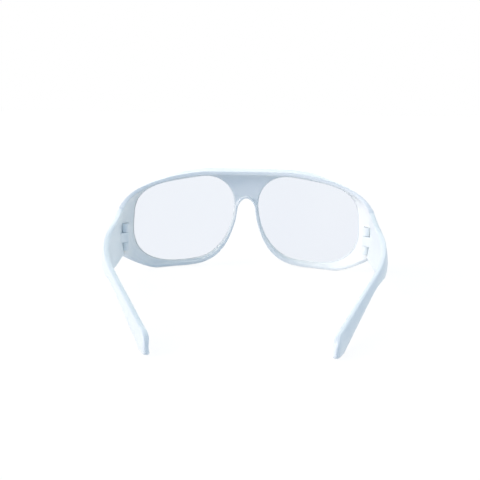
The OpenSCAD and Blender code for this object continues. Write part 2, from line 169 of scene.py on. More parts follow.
# Points along the pieces: round the rim, across its section, along and round a temple, over
# a lens and round the turned pieces
ARCH_PARTS, RIM_PARTS, BROW_PARTS, BRIDGE_PARTS = 28, 226, 14, 26
LIP_STEPS, BODY_STEPS, WALL_STEPS = 5, 6, 5
BACK_LIP_STEPS, LOW_LIP_STEPS = 4, 3
FILLS = (0.25, 0.5, 0.75)
BAR_PARTS, TIP_PARTS, TIP_TURN = 110, 16, 88
ARC_STEPS, FACE_STEPS = 9, 9
LENS_AROUND, LENS_RINGS = 220, 26
BARREL_SIDES, SCREW_SIDES = 64, 48
BEVEL_TURNS = (0, 30, 60, 90)
DOME_SHARES = (0.95, 0.8, 0.6, 0.35, 0.1)


# Shape functions, for arrays of angles or distances
def mix(a, b, k):
    return a + (b - a) * k


def ease(k):
    c = np.clip(k, 0, 1)
    return c * c * (3 - 2 * c)


def unit(v):
    return v / np.linalg.norm(v, axis=-1, keepdims=True)


def col(k):
    return np.asarray(k, float)[:, None]


def along(keys, t):
    """Eased value at the angles t between keys (angle, value)."""
    at = np.array([k[0] for k in keys])
    value = np.array([k[1] for k in keys])
    t = np.clip(t, at[0], at[-1])
    i = np.clip(np.searchsorted(at, t) - 1, 0, len(at) - 2)
    return mix(value[i], value[i + 1], ease((t - at[i]) / (at[i + 1] - at[i])))


def wrap_y(x):
    """Depth of the wrapped front face."""
    return WRAP_RADIUS - np.sqrt(WRAP_RADIUS ** 2 - x * x)


def opening(t):
    """Points [x, z] on the lens opening's edge at the angles t."""
    c, s = np.cos(np.radians(t)), np.sin(np.radians(t))
    wide = np.where(c >= 0, OPENING_OUT, OPENING_IN)
    tall = np.where(s >= 0, OPENING_UP, OPENING_DOWN)
    power = np.where(s >= 0, np.where(c >= 0, CORNER_TOP, CORNER_NOSE),
                     np.where(c >= 0, CORNER_LOW, CORNER_CHEEK))
    reach = ((np.abs(c) / wide) ** power + (np.abs(s) / tall) ** power) ** (-1 / power)
    return np.stack([OPENING_X + reach * c - OPENING_LEAN * reach * s,
                     OPENING_Z + reach * s - OPENING_DROOP * reach * c], -1)


def opening_normal(t):
    slope = opening(t + SLOPE_STEP) - opening(t - SLOPE_STEP)
    return unit(np.stack([slope[:, 1], -slope[:, 0]], -1))


def rim_width(t):
    return along([(NOSE_END, RIM_NOSE), (LOW_START, RIM_LOW), (LOW_END, RIM_LOW),
                  (CHEEK_MIDDLE, RIM_CHEEK), (SIDE_MIDDLE, RIM_SIDE), (CORNER_MIDDLE, RIM_CORNER),
                  (BROW_START, RIM_BROW), (TOP_ANGLE, RIM_TOP)], t)


def wall_depth(t):
    return along([(NOSE_END, NOSE_DEPTH), (LOW_START, LOW_DEPTH), (LOW_END, LOW_DEPTH),
                  (CHEEK_START, CHEEK_DEPTH), (CORNER_MIDDLE, BROW_DEPTH)], t)


def foot_slope(t):
    """Share of the wall's foot that slopes: 1 at the lower outer corner."""
    return along([(LOW_START, 0.0), (CHEEK_START, 1.0), (SIDE_MIDDLE, 1.0), (CORNER_MIDDLE, 0.0)], t)


def edge_rise(t):
    """Rise of the wall's back edge above the front's outline."""
    return along([(NOSE_END, 0.0), (LOW_START, LOW_RISE), (LOW_END, LOW_RISE), (CHEEK_MIDDLE, 0.0),
                  (CORNER_MIDDLE, 0.0), (BROW_START, -BROW_FALL)], t)


top_point = opening(np.array([TOP_ANGLE]))[0]
arch_at = np.array([ARCH_ANGLE])
arch_start = (opening(arch_at) + col(rim_width(arch_at)) * opening_normal(arch_at))[0]
BROW_X, BROW_Z = top_point[0], top_point[1] + RIM_TOP
ARCH_X, ARCH_Z = arch_start


def outline(t):
    """Points and outward directions on the front's outline: arch, rim and brow."""
    out = opening_normal(t)
    rim = opening(t) + col(rim_width(t)) * out
    arch = t < ARCH_ANGLE
    turn = np.radians(90 * (t[arch] - ARCH_ANGLE + ARCH_SPAN) / ARCH_SPAN)
    up = np.clip(np.cos(turn), 0, 1)
    rim[arch] = np.stack([ARCH_X * np.sin(turn), ARCH_Z + ARCH_RISE * up ** ARCH_POWER], -1)
    out[arch] = -unit(np.stack([ARCH_POWER * ARCH_RISE * np.sin(turn),
                                ARCH_X * up ** (2 - ARCH_POWER)], -1))
    brow = t > TOP_ANGLE
    rim[brow] = np.stack([BROW_X * (1 - (t[brow] - TOP_ANGLE) / BROW_SPAN),
                          np.full(brow.sum(), BROW_Z)], -1)
    out[brow] = [0, 1]
    rim[:, 0] = np.where(np.abs(rim[:, 0]) < TINY, 0, rim[:, 0])
    rim[:, 1] = np.maximum(rim[:, 1], 0)
    return rim, out


def joint_share(t, z):
    """How much the wall reaches back to the joint, from 0 for the plain rim to 1."""
    k = np.minimum(1 + (JOINT_TOP - z) / SHIELD_RISE, 1 + (z - JOINT_BOTTOM) / SHIELD_FALL)
    return np.where(np.abs(t) > 90, 0, np.clip(k, 0, 1) ** 2)


def joint_face(z):
    """Half the front's width at its joints."""
    k = (z - JOINT_Z) / (JOINT_HEIGHT / 2)
    return JOINT_HALF_WIDTH + JOINT_BULGE * (1 - k * k)


def spot(p, depth):
    """Points in space from [x, z], this deep behind the wrapped front face."""
    return np.stack([p[:, 0], wrap_y(p[:, 0]) + depth, p[:, 1]], -1)


def level(p, y):
    return np.stack([p[:, 0], y, p[:, 1]], -1)


def fillet(a, corner, b, steps):
    """Points round a corner, from a to b, as a list with one array a step."""
    return [(1 - s) ** 2 * a + 2 * s * (1 - s) * corner + s * s * b for s in np.linspace(0, 1, steps)]


# Mesh helpers
def placed(points):
    """Points in the source's millimetres as points in the frame, in metres."""
    moved = np.asarray(points, float).reshape(-1, 3) + [0, FRONT_Y, 0]
    return moved * MM


def mesh_object(name, points, faces):
    mesh = bpy.data.meshes.new(name)
    mesh.from_pydata([tuple(p) for p in placed(points)], [], [tuple(int(i) for i in f) for f in faces])
    mesh.validate()
    bm = bmesh.new()
    bm.from_mesh(mesh)
    bmesh.ops.remove_doubles(bm, verts=bm.verts, dist=MERGE_M)
    bmesh.ops.recalc_face_normals(bm, faces=bm.faces)
    bm.to_mesh(mesh)
    bm.free()
    obj = bpy.data.objects.new(name, mesh)
    bpy.context.scene.collection.objects.link(obj)
    return obj


def mirrored(obj, name):
    """A copy on the other side of the face."""
    mesh = obj.data.copy()
    mesh.transform(Matrix.Scale(-1, 4, (1, 0, 0)))
    mesh.flip_normals()
    copy = bpy.data.objects.new(name, mesh)
    bpy.context.scene.collection.objects.link(copy)
    return copy


def smooth(obj, angle=SMOOTH_ANGLE):
    obj.data.shade_smooth()
    obj.data.set_sharp_from_angle(angle=math.radians(angle))


def carved(obj, unions=(), cuts=()):
    """Joins closed solids to obj, then cuts others out of it, and removes all of them."""
    for tool, operation in [(u, "UNION") for u in unions] + [(c, "DIFFERENCE") for c in cuts]:
        modifier = obj.modifiers.new("boolean", "BOOLEAN")
        modifier.solver = "EXACT"
        modifier.operation = operation
        modifier.object = tool
        bpy.context.view_layer.update()
        result = bpy.data.meshes.new_from_object(obj.evaluated_get(bpy.context.evaluated_depsgraph_get()))
        obj.modifiers.clear()
        obj.data = result
        bpy.data.objects.remove(tool)
    obj.data.materials.clear()
    return obj


def strips(rows, count, first=0, skipped=()):
    """Faces between closed rows of points, of which the first has the number given."""
    faces = []
    for i in range(rows - 1):
        a = first + i * count
        for j in range(count):
            if j not in skipped:
                k = (j + 1) % count
                faces.append((a + j, a + count + j, a + count + k, a + k))
    return faces


def ends(rows, count):
    """The faces that close a tube of rows at its two ends."""
    return [tuple(range(count))[::-1], tuple(range((rows - 1) * count, rows * count))]


def turned(name, profile, sides, closed=False):
    """A solid turned about the hinge axis from pairs (radius, z), a ring where it is closed."""
    rows = profile + profile[:1] if closed else profile
    angles = np.linspace(0, 2 * np.pi, sides, endpoint=False)
    points = [[AXIS_X + r * math.cos(a), AXIS_Y + r * math.sin(a), z] for r, z in rows for a in angles]
    faces = strips(len(rows), sides)
    return mesh_object(name, points, faces if closed else faces + ends(len(rows), sides))


def rod(name, radius, bottom, top, bevel=0.0):
    if bevel:
        steps = [(radius - bevel * (1 - math.sin(a)), bevel * (1 - math.cos(a)))
                 for a in np.radians(BEVEL_TURNS)]
        profile = [(r, bottom + h) for r, h in steps] + [(r, top - h) for r, h in reversed(steps)]
    else:
        profile = [(radius, bottom), (radius, top)]
    return turned(name, profile, BARREL_SIDES)


def prism(name, outline_points, bottom, top):
    count = len(outline_points)
    points = [[AXIS_X + x, AXIS_Y + y, z] for z in (bottom, top) for x, y in outline_points]
    return mesh_object(name, points, ends(2, count) + strips(2, count))


# The moulded front
def front_rows(t):
    """Rows of points round the section at each angle: front lip, body, and back lip with the seat."""
    edge, from_edge = opening(t), opening_normal(t)
    rim, out = outline(t)
    joint = joint_share(t, rim[:, 1])
    web = np.minimum(WALL, rim_width(t) - LEDGE)
    thick = mix(web, TEMPLE_THICKNESS, joint)
    back_y = mix(wrap_y(rim[:, 0]) + wall_depth(t), JOINT_Y, joint)
    away = unit(mix(out, np.array([[1.0, 0.0]]), col(joint)))
    side = np.stack([mix(rim[:, 0], joint_face(rim[:, 1]), joint), rim[:, 1] + edge_rise(t)], -1)
    inner = side - col(thick) * away

    # The foot of the wall, where the ledge behind the lens starts
    foot = mix(web, RIM_SIDE - LEDGE, joint)
    foot_deep = back_y - BACK_ROUND - wrap_y(rim[:, 0]) - RIM_DEPTH
    foot_depth = RIM_DEPTH + foot_slope(t) * np.minimum(FOOT_RISE, FOOT_SHARE * foot_deep)
    corner = spot(rim - col(foot) * out, foot_depth)
    lip_point = spot(edge + LIP * from_edge, RIM_DEPTH)
    slope = (foot_depth - RIM_DEPTH) / np.linalg.norm(lip_point - corner, axis=1)
    ledge_start = spot(rim - col(foot + FOOT_ROUND) * out, foot_depth - FOOT_ROUND * slope)
    spare = np.maximum(0, ROLL_LIMIT * thick - BACK_ROUND)
    roll = col(BACK_ROUND + foot_slope(t) * (1 - joint) * spare)
    wall_end = level(inner, back_y - roll[:, 0])

    body = fillet(spot(rim - FRONT_CURVE * out, 0), spot(rim, 0), spot(rim, FRONT_CURVE), BODY_STEPS)
    body.append(spot(rim, LAND_DEPTH))
    body += fillet(level(side, back_y - BACK_ROUND), level(side, back_y),
                   level(side - BACK_ROUND * away, back_y), WALL_STEPS)
    body += fillet(level(inner + roll * away, back_y), level(inner, back_y), wall_end, WALL_STEPS)
    body += fillet(corner + FOOT_ROUND * unit(wall_end - corner), corner, ledge_start, WALL_STEPS)

    front_lip = fillet(spot(edge, FRONT_ROUND), spot(edge, 0),
                       spot(edge + FRONT_ROUND * from_edge, 0), LIP_STEPS)
    low_lip = spot(edge, RIM_DEPTH - LIP)
    away_lip = BACK_LIP * unit(lip_point - low_lip)
    back_lip = fillet(lip_point + BACK_LIP * unit(corner - lip_point), lip_point,
                      lip_point - away_lip, BACK_LIP_STEPS)
    back_lip += fillet(low_lip + away_lip, low_lip,
                       spot(edge, RIM_DEPTH - LIP - BACK_LIP), LOW_LIP_STEPS)
    seat_edge = edge + SEAT_DEPTH * from_edge
    seat_back = SEAT_SETBACK + LENS_THICKNESS + 2 * LENS_CLEARANCE
    seat = [spot(edge, seat_back), spot(seat_edge, seat_back),
            spot(seat_edge, SEAT_SETBACK), spot(edge, SEAT_SETBACK)]
    return front_lip, body, back_lip + seat


def filled(start, end):
    """Rows between two rows on the wrapped front face, which follow its curve."""
    rows = []
    for f in FILLS:
        between = mix(start, end, f)
        between[:, 1] = wrap_y(between[:, 0])
        rows.append(between)
    return rows


def whole_ring(front_lip, body, rest):
    return np.stack(front_lip + filled(front_lip[-1], body[0]) + body
                    + [mix(body[-1], rest[0], f) for f in FILLS] + rest, 1)


def front_moulding():
    """The left half's walls and its half of the bridge, and their mirror image."""
    first, last = ARCH_ANGLE - ARCH_SPAN, TOP_ANGLE + BROW_SPAN
    t = np.concatenate([np.linspace(first, ARCH_ANGLE, ARCH_PARTS, endpoint=False),
                        np.linspace(ARCH_ANGLE, TOP_ANGLE, RIM_PARTS, endpoint=False),
                        np.linspace(TOP_ANGLE, last, BROW_PARTS)])
    front_lip, body, rest = front_rows(t)
    walls = whole_ring(front_lip, body, rest)
    q = np.linspace(0, 1, BRIDGE_PARTS)
    own_lip, _, own_rest = front_rows(mix(last, first + 360, q))
    middle = [mix(row[-1], row[0], col(q)) for row in body]
    bridge = whole_ring(own_lip, middle, own_rest)
    count = walls.shape[1]
    body_first = LIP_STEPS + len(FILLS)
    inside = range(body_first, body_first + len(body) - 1)
    points = np.concatenate([walls.reshape(-1, 3), bridge.reshape(-1, 3)])
    faces = strips(len(walls), count) + strips(len(bridge), count, len(walls) * count, inside)
    total = len(points)
    points = np.concatenate([points, points * [-1, 1, 1]])
    faces += [tuple(total + v for v in f[::-1]) for f in faces]
    return mesh_object("front_moulding", points, faces)


def knuckle_solids(name, bottom, top, foot):
    """A hinge barrel and the web that joins it to a wall at foot, all from the hinge axis."""
    wide = TEMPLE_THICKNESS / 2
    web = [(-BARREL_RADIUS, 0), (AXIS_INSET + wide, 0), (foot[0] + wide / 2, foot[1]), foot]
    return [rod(name + "_barrel", BARREL_RADIUS, bottom, top, BARREL_BEVEL),
            prism(name + "_web", web, bottom + WEB_INSET, top - WEB_INSET)]


def both_sides(solids):
    """The given solids and their mirrored copies."""
    return solids + [mirrored(s, s.name + "_other") for s in solids]


front = front_moulding()
front_foot = (AXIS_INSET, -WEB_LENGTH)
front_knuckles = (knuckle_solids("low", BARREL_BOTTOM, KNUCKLE_BOTTOM - KNUCKLE_GAP, front_foot)
                  + knuckle_solids("high", KNUCKLE_TOP + KNUCKLE_GAP, BARREL_TOP, front_foot))
notch_radius, screw_way = BARREL_RADIUS + NOTCH_CLEARANCE, SCREW_RADIUS + SCREW_CLEARANCE
front_cuts = [
    rod("notch", notch_radius, KNUCKLE_BOTTOM - KNUCKLE_GAP, KNUCKLE_TOP + KNUCKLE_GAP),
    rod("screw_hole", screw_way, KNUCKLE_TOP, BARREL_TOP + OVERCUT),
    rod("head_hole", SCREW_HEAD_RADIUS + SCREW_CLEARANCE, BARREL_TOP - SCREW_HEAD_HEIGHT,
        BARREL_TOP + OVERCUT),
    rod("insert_hole", INSERT_RADIUS, BARREL_BOTTOM - OVERCUT, KNUCKLE_BOTTOM)]
carved(front, both_sides(front_knuckles), both_sides(front_cuts))
smooth(front)
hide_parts("front_frame")
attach(front, "frame")

# The temples: a straight stretch, the bend round the ear and the tail
tail_angle = TOE_IN + BEND_ANGLE
bend_length = math.radians(BEND_ANGLE) * BEND_RADIUS
bend_run = BEND_RADIUS * (math.sin(math.radians(tail_angle)) - math.sin(math.radians(TOE_IN)))
tip_offset = (TIP_THICKNESS + JOINT_BULGE) * math.sin(math.radians(tail_angle))
temple_start = JOINT_Y + JOINT_GAP
tail_length = (OVERALL_LENGTH - temple_start - STRAIGHT_LENGTH * math.cos(math.radians(TOE_IN))
               - bend_run - tip_offset) / math.cos(math.radians(tail_angle))
temple_length = STRAIGHT_LENGTH + bend_length + tail_length
tip_start = temple_length - TIP_ROUND


def heading(s):
    """Direction of the temple at the distance s along it, turned inwards from straight back."""
    return np.where(s <= 0, 0, TOE_IN + BEND_ANGLE * np.clip((s - STRAIGHT_LENGTH) / bend_length, 0, 1))


def temple_path(s):
    """Place of the temple's inner face at the distance s along it."""
    straight = np.minimum(s, STRAIGHT_LENGTH)
    turn = np.radians(heading(np.maximum(s, STRAIGHT_LENGTH)))
    tail = np.maximum(0, s - STRAIGHT_LENGTH - bend_length)
    toe, end = math.radians(TOE_IN), math.radians(tail_angle)
    x = (JOINT_HALF_WIDTH - TEMPLE_THICKNESS - straight * math.sin(toe)
         - BEND_RADIUS * (math.cos(toe) - np.cos(turn)) - tail * math.sin(end))
    y = (temple_start + straight * math.cos(toe)
         + BEND_RADIUS * (np.sin(turn) - math.sin(toe)) + tail * math.cos(end))
    return x, y


def bar_top(s):
    """Height of the temple's top edge, which falls evenly to its tip."""
    return mix(JOINT_TOP, TIP_HEIGHT - LAND_SINK, np.minimum(1, s / tip_start))


def bar_bottom(s):
    """Height of the temple's low edge: the belly, the waist and the fall to the tip."""
    q = np.clip((s - WAIST_LENGTH) / (tip_start - WAIST_LENGTH), 0, 1)
    fall = np.where(q < FALL_START, q * q / FALL_START / 2, q - FALL_START / 2) / (1 - FALL_START / 2)
    rise = ease((s - LEVEL_LENGTH) / (WAIST_LENGTH - LEVEL_LENGTH))
    belly = JOINT_BOTTOM - BELLY_DROP * ease(s / LEVEL_LENGTH)
    return np.where(s < WAIST_LENGTH, mix(belly, WAIST_BOTTOM, rise), mix(WAIST_BOTTOM, -LAND_SINK, fall))


def bar_section(half, thickness, radius, outwards, inwards):
    """Outline of a temple across its length as [outwards, up], its top rolled outwards or inwards."""
    wide = thickness / 2
    plain = min(radius, half * TALL_SHARE)
    crisp = min(CRISP_EDGE, plain)
    reach = (thickness - crisp) * ROLL_SHARE
    drop, fall = min(ROLL_DROP, half), min(ROLL_FALL, half * TALL_SHARE)
    inner_edge = mix(plain, crisp, outwards)
    # The side and level of each corner, and how far its rounding goes across and up
    corners = [(1, 1, mix(mix(plain, reach, outwards), crisp, inwards),
                mix(mix(plain, drop, outwards), crisp, inwards)),
               (-1, 1, mix(inner_edge, reach, inwards), mix(inner_edge, fall, inwards)),
               (-1, -1, plain, plain), (1, -1, plain, plain)]
    points = []
    for i, (side, end, across, rise) in enumerate(corners):
        start = end * (half - rise)
        for a in np.radians(np.linspace(90 * i, 90 * i + 90, ARC_STEPS)):
            points.append((side * (wide - across) + across * math.cos(a), start + rise * math.sin(a)))
        if i % 2 == 1:
            _, next_end, _, next_rise = corners[(i + 1) % 4]
            stop = next_end * (half - next_rise)
            shares = np.linspace(0, 1, FACE_STEPS + 2)[1:-1]
            points += [(side * wide, mix(start, stop, k)) for k in shares]
    return np.array(points)


def bar_ring(s, height_share, thick_share, bevel):
    """Points of the section at the distance s, as shares of the bar's height and thickness."""
    top, bottom = float(bar_top(s)), float(bar_bottom(s))
    half, middle = (top - bottom) / 2, mix(TIP_END, (top + bottom) / 2, height_share)
    thickness = mix(TEMPLE_THICKNESS, TIP_THICKNESS, min(1, s / tip_start))
    radius = min(EDGE_RADIUS, thickness * thick_share * THIN_SHARE)
    section = bar_section(height_share * half - bevel, thickness * thick_share - 2 * bevel,
                          radius - bevel / 2, float(ease(s / ROLL_START)),
                          float(ease((s - ROLL_START) / ROLL_LENGTH)))
    turn = math.radians(float(heading(np.array(s))))
    x, y = temple_path(np.array(s))
    height = section[:, 1] / half
    out = thickness / 2 + section[:, 0] + JOINT_BULGE * (1 - height * height)
    z = np.maximum(0, middle + section[:, 1])
    return np.stack([x + out * math.cos(turn), y + out * math.sin(turn), z], -1)


def temple_bar(name):
    stations = [(s, 1.0, 1.0, bevel) for s, bevel in END_SECTIONS]
    stations += [(s, 1.0, 1.0, 0.0) for s in np.linspace(BAR_START, tip_start, BAR_PARTS)[:-1]]
    for a in np.radians(np.linspace(0, TIP_TURN, TIP_PARTS)):
        end = temple_length - TIP_ROUND * (1 - math.sin(a))
        thin = math.sqrt(max(TIP_THINNEST, 1 - math.sin(a) ** TIP_SQUARENESS))
        stations.append((end, math.cos(a) ** TIP_FULLNESS, thin, 0.0))
    rings = [bar_ring(*station) for station in stations]
    count = len(rings[0])
    faces = ends(len(rings), count) + strips(len(rings), count)
    return mesh_object(name, np.concatenate(rings), faces)


foot_sink = TEMPLE_THICKNESS / 6
temple_foot = (AXIS_INSET + JOINT_BULGE + foot_sink, WEB_LENGTH)
left_temple = temple_bar("temple_bar_left")
carved(left_temple, knuckle_solids("temple", KNUCKLE_BOTTOM, KNUCKLE_TOP, temple_foot), [
    rod("low_notch", notch_radius, BARREL_BOTTOM - KNUCKLE_GAP, KNUCKLE_BOTTOM),
    rod("high_notch", notch_radius, KNUCKLE_TOP, BARREL_TOP + KNUCKLE_GAP),
    rod("screw_way", screw_way, KNUCKLE_BOTTOM - OVERCUT, KNUCKLE_TOP + OVERCUT)])
right_temple = mirrored(left_temple, "temple_bar_right")
for temple, side in ((left_temple, "left"), (right_temple, "right")):
    smooth(temple)
    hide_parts("temple_" + side)
    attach(temple, "temple_" + side)


# The lenses
def lens_shell(name):
    t = np.linspace(0, 360, LENS_AROUND, endpoint=False)
    edge = opening(t) + (SEAT_DEPTH - LENS_CLEARANCE) * opening_normal(t)
    inner = edge - LENS_EDGE * opening_normal(t)
    centre = edge.mean(0)
    front_depth = SEAT_SETBACK + LENS_CLEARANCE
    back_depth = front_depth + LENS_THICKNESS
    scales = np.sin(np.linspace(0, math.pi / 2, LENS_RINGS))[1:]
    rows = [spot(centre + (inner - centre) * f, front_depth) for f in scales]
    rows += [spot(edge, front_depth + LENS_EDGE), spot(edge, back_depth - LENS_EDGE)]
    rows += [spot(centre + (inner - centre) * f, back_depth) for f in scales[::-1]]
    points = [spot(centre[None], front_depth), *rows, spot(centre[None], back_depth)]
    last = 1 + (len(rows) - 1) * LENS_AROUND
    faces = strips(len(rows), LENS_AROUND, 1)
    for j in range(LENS_AROUND):
        k = (j + 1) % LENS_AROUND
        faces += [(0, 1 + j, 1 + k), (last + j, last + LENS_AROUND, last + k)]
    return mesh_object(name, np.concatenate(points), faces)


left_lens = lens_shell("filter_lens_left")
right_lens = mirrored(left_lens, "filter_lens_right")
for lens, side in ((left_lens, "left"), (right_lens, "right")):
    smooth(lens)
    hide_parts("lens_" + side)
    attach(lens, "frame")


# The hinge screws and the inserts that they go into
def hinge_screw(name):
    thread_start, thread_end = BARREL_BOTTOM + SCREW_POINT, KNUCKLE_BOTTOM - KNUCKLE_GAP
    profile = [(SCREW_RADIUS - SCREW_POINT, BARREL_BOTTOM), (SCREW_RADIUS, thread_start)]
    z = thread_start
    while z + THREAD_PITCH < thread_end:
        profile += [(SCREW_RADIUS - THREAD_DEPTH, z + THREAD_PITCH / 2), (SCREW_RADIUS, z + THREAD_PITCH)]
        z += THREAD_PITCH
    head_low = BARREL_TOP - SCREW_HEAD_HEIGHT
    profile += [(SCREW_RADIUS, head_low), (SCREW_HEAD_RADIUS, head_low),
                (SCREW_HEAD_RADIUS, BARREL_TOP - HEAD_DOME - HEAD_BEVEL)]
    profile += [(SCREW_HEAD_RADIUS * f, BARREL_TOP - HEAD_DOME * f * f) for f in DOME_SHARES]
    slot_half, slot_depth, wide = SCREW_HEAD_HEIGHT / 4, SCREW_HEAD_HEIGHT / 2, 2 * SCREW_HEAD_RADIUS
    slot = [(-wide, -slot_half), (wide, -slot_half), (wide, slot_half), (-wide, slot_half)]
    return carved(turned(name, profile, SCREW_SIDES), [],
                  [prism("slot", slot, BARREL_TOP - slot_depth, BARREL_TOP + OVERCUT)])


def hinge_insert(name):
    low, high = BARREL_BOTTOM, KNUCKLE_BOTTOM - KNUCKLE_GAP
    profile = [(SCREW_RADIUS, low + BORE_BEVEL), (SCREW_RADIUS + BORE_BEVEL, low),
               (INSERT_RADIUS - INSERT_BEVEL, low), (INSERT_RADIUS, low + INSERT_BEVEL),
               (INSERT_RADIUS, high), (SCREW_RADIUS, high)]
    return turned(name, profile, SCREW_SIDES, closed=True)


small_parts = []
for maker, node, slot in ((hinge_screw, "hinge_screw", "screw"), (hinge_insert, "hinge_insert", "insert")):
    left = maker(node + "_turned_left")
    right = mirrored(left, node + "_turned_right")
    for piece, side in ((left, "left"), (right, "right")):
        smooth(piece, SMALL_SMOOTH_ANGLE)
        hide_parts(node + "_" + side)
        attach(piece, "frame")
        small_parts.append((piece, slot))


# Materials. Each noise is given as its scale, in waves a metre, and its detail.
NOISE_LOW, NOISE_HIGH = 0.3, 0.7
PLASTIC = {"tone": (38, 2), "sheen": (160, 4), "spread": (0.04, 0.05),
           "grain": (2600, 2), "relief": (0.25, 0.00003)}
METAL = {"tone": (500, 3), "sheen": (1400, 3), "spread": (0.06, 0.08),
         "grain": (5000, 2), "relief": (0.2, 0.00002)}
PLASTIC_IOR, LENS_IOR = 1.49, 1.5
LENS_TONE, LENS_SHEEN, LENS_ROUGH = (16, 1), (900, 2), (0.02, 0.035)
COATING, LENS_SHADE = (0.86, 0.9, 1.0, 1), (0.9, 0.93, 0.97, 1)


def new_material(name):
    material = bpy.data.materials.new(name)
    material.use_nodes = True
    tree = material.node_tree
    return material, tree, tree.nodes["Principled BSDF"]


def new_node(tree, kind, **settings):
    made = tree.nodes.new(kind)
    for key, value in settings.items():
        setattr(made, key, value)
    return made


def noise(tree, scale, detail):
    coordinates = new_node(tree, "ShaderNodeTexCoord")
    texture = new_node(tree, "ShaderNodeTexNoise")
    texture.inputs["Scale"].default_value = scale
    texture.inputs["Detail"].default_value = detail
    tree.links.new(coordinates.outputs["Object"], texture.inputs["Vector"])
    return texture.outputs["Fac"]


def ramp(tree, source, low, high):
    """A colour that goes from low to high with the source."""
    made = new_node(tree, "ShaderNodeValToRGB")
    for element, place, colour in zip(made.color_ramp.elements, (NOISE_LOW, NOISE_HIGH), (low, high)):
        element.position = place
        element.color = (*colour, 1)
    tree.links.new(source, made.inputs["Fac"])
    return made.outputs["Color"]


def ranged(tree, source, low, high):
    """A number that goes from low to high with the source."""
    made = new_node(tree, "ShaderNodeMapRange")
    values = {"From Min": NOISE_LOW, "From Max": NOISE_HIGH, "To Min": low, "To Max": high}
    for key, value in values.items():
        made.inputs[key].default_value = value
    tree.links.new(source, made.inputs["Value"])
    return made.outputs["Result"]


def bump(tree, source, strength, depth_m):
    made = new_node(tree, "ShaderNodeBump")
    made.inputs["Strength"].default_value = strength
    made.inputs["Distance"].default_value = depth_m
    tree.links.new(source, made.inputs["Height"])
    return made.outputs["Normal"]


def mixed(tree, share, first, second):
    """The second shader by this share, and the first for the rest."""
    made = new_node(tree, "ShaderNodeMixShader")
    for i, output in enumerate((share, first, second)):
        tree.links.new(output, made.inputs[i])
    return made.outputs[0]


def surface(name, low, high, rough, tone, sheen, spread, grain, relief):
    """A material with a varied colour and gloss, and a fine relief."""
    material, tree, shader = new_material(name)
    tree.links.new(ramp(tree, noise(tree, *tone), low, high), shader.inputs["Base Color"])
    gloss = ranged(tree, noise(tree, *sheen), rough - spread[0], rough + spread[1])
    tree.links.new(gloss, shader.inputs["Roughness"])
    tree.links.new(bump(tree, noise(tree, *grain), *relief), shader.inputs["Normal"])
    return material, shader


def moulded_plastic(name, low, high, rough):
    material, shader = surface(name, low, high, rough, **PLASTIC)
    shader.inputs["IOR"].default_value = PLASTIC_IOR
    return material


def turned_metal(name, low, high, rough):
    material, shader = surface(name, low, high, rough, **METAL)
    shader.inputs["Metallic"].default_value = 1.0
    return material


def clear_lens(name, low, high):
    """Tinted clear plastic that lets the lamps' light through with little shade."""
    material, tree, shader = new_material(name)
    tree.links.new(ramp(tree, noise(tree, *LENS_TONE), low, high), shader.inputs["Base Color"])
    tree.links.new(ranged(tree, noise(tree, *LENS_SHEEN), *LENS_ROUGH), shader.inputs["Roughness"])
    shader.inputs["IOR"].default_value = LENS_IOR
    shader.inputs["Transmission Weight"].default_value = 1.0
    shader.inputs["Specular Tint"].default_value = COATING
    lamp_way = new_node(tree, "ShaderNodeBsdfTransparent")
    lamp_way.inputs["Color"].default_value = LENS_SHADE
    shadow_ray = new_node(tree, "ShaderNodeLightPath").outputs["Is Shadow Ray"]
    whole = mixed(tree, shadow_ray, shader.outputs[0], lamp_way.outputs[0])
    tree.links.new(whole, tree.nodes["Material Output"].inputs["Surface"])
    return material


frame_plastic = moulded_plastic("frame_plastic", (0.84, 0.89, 0.91), (0.87, 0.915, 0.93), 0.36)
temple_plastic = moulded_plastic("temple_plastic", (0.82, 0.88, 0.905), (0.85, 0.905, 0.925), 0.38)
lens_clear = clear_lens("lens_clear", (0.83, 0.855, 0.91), (0.85, 0.875, 0.92))
finishes = {"screw": turned_metal("screw_steel", (0.50, 0.52, 0.54), (0.62, 0.64, 0.66), 0.32),
            "insert": turned_metal("insert_brass", (0.62, 0.45, 0.18), (0.72, 0.55, 0.25), 0.34)}
front.data.materials.append(frame_plastic)
for piece in (left_temple, right_temple):
    piece.data.materials.append(temple_plastic)
for piece in (left_lens, right_lens):
    piece.data.materials.append(lens_clear)
for piece, slot in small_parts:
    piece.data.materials.append(finishes[slot])

# Floor, world and light
WHITE = (1, 1, 1, 1)
AMBIENT = (0.02, 0.16, 0.36, 1)
FLOOR_HALF_M, FLOOR_DROP_M = 6.0, 0.0001
FLOOR_TONE, FLOOR_DARK, FLOOR_LIGHT = (3, 2), (0.82, 0.82, 0.82), (0.83, 0.83, 0.83)
FLOOR_ROUGH, FLOOR_GLOSS = 0.9, 0.1
FLOOR_GLOW, GLOW_STRENGTH = 0.85, 1.08


def seen_directly(tree):
    """1 for rays from the camera, or that a mirror-like or clear surface sends on, else 0."""
    path = new_node(tree, "ShaderNodeLightPath")
    total = path.outputs["Is Camera Ray"]
    for name in ("Is Glossy Ray", "Is Transmission Ray"):
        either = new_node(tree, "ShaderNodeMath", operation="MAXIMUM")
        tree.links.new(total, either.inputs[0])
        tree.links.new(path.outputs[name], either.inputs[1])
        total = either.outputs[0]
    return total


